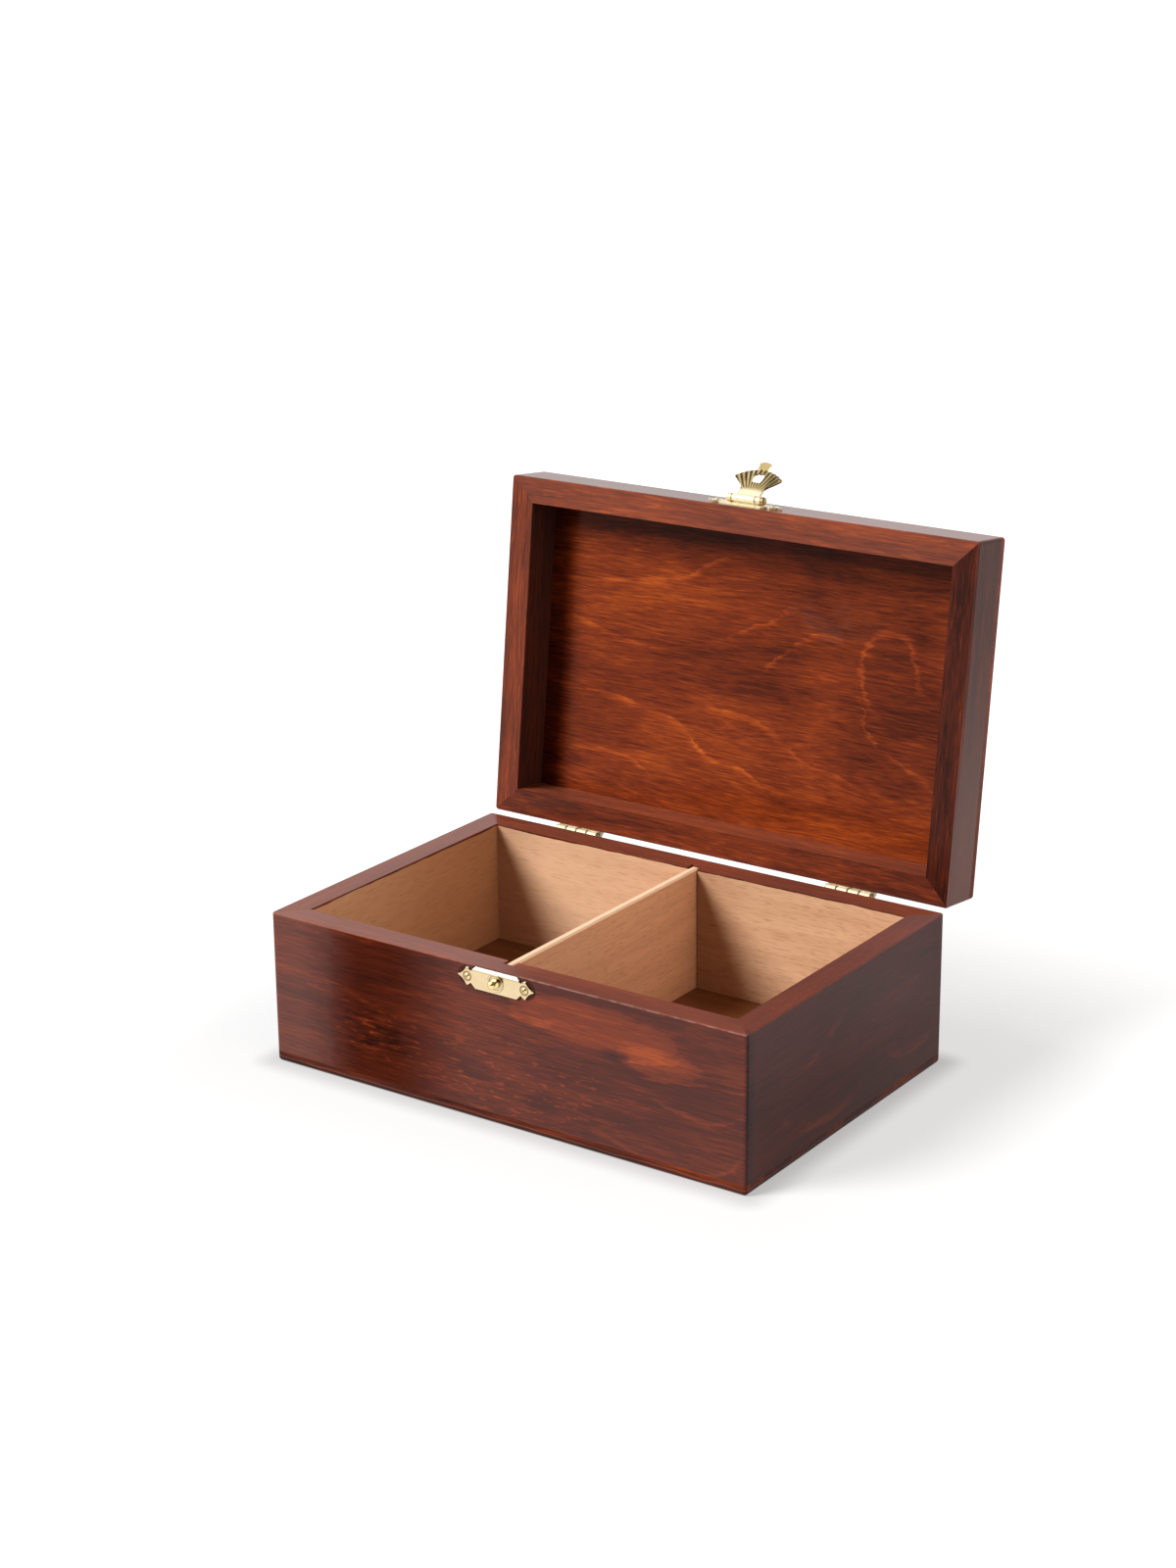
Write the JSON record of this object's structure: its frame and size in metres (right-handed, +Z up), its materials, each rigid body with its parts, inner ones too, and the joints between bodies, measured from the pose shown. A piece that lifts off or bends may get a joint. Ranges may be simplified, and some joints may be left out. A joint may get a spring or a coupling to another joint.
{
  "type": "chess box with hinged lid",
  "caption": "Wooden chess box with a divided tray, a hinged lid held open by its stop hinges, and a scallop-shell hasp that shuts over a catch knob.",
  "frame": {"origin": "centre of the underside of the bottom panel", "axes": "+X to the right as seen from the clasp side, +Y to the hinge side, +Z up; stored with the lid open on its stops"},
  "size_m": [0.2, 0.1759, 0.2009],
  "materials": {
    "mahogany": "gloss",
    "beech": "satin",
    "brass": "polished"
  },
  "bodies": {
    "box": {"front_wall": "mahogany", "back_wall": "mahogany", "left_wall": "mahogany", "right_wall": "mahogany", "bottom_panel": "mahogany", "floor_board": "beech", "divider": "beech", "left_hinge_box_leaf": "brass", "right_hinge_box_leaf": "brass", "left_hinge_pin": "brass", "right_hinge_pin": "brass", "hinge_screws_box": "brass", "catch_plate": "brass", "catch_knob": "brass", "catch_nails": "brass"},
    "lid": {"lid_front_rail": "mahogany", "lid_back_rail": "mahogany", "lid_left_rail": "mahogany", "lid_right_rail": "mahogany", "lid_top_panel": "mahogany", "left_hinge_lid_leaf": "brass", "right_hinge_lid_leaf": "brass", "hinge_screws_lid": "brass", "clasp_plate": "brass", "clasp_nails": "brass", "clasp_pin": "brass"},
    "hasp": {"shell_hasp": "brass"}
  },
  "joints": [
    {"name": "lid_hinge", "type": "hinge", "parent": "box", "child": "lid", "pos_m": [0, 0.0673, 0.0567], "axis": [-1, 0, 0], "range_deg": [-96.7, 0]},
    {"name": "hasp_pivot", "type": "hinge", "parent": "lid", "child": "hasp", "pos_m": [0, 0.09035, 0.19032], "axis": [-1, 0, 0], "range_deg": [-136, 34]}
  ]
}
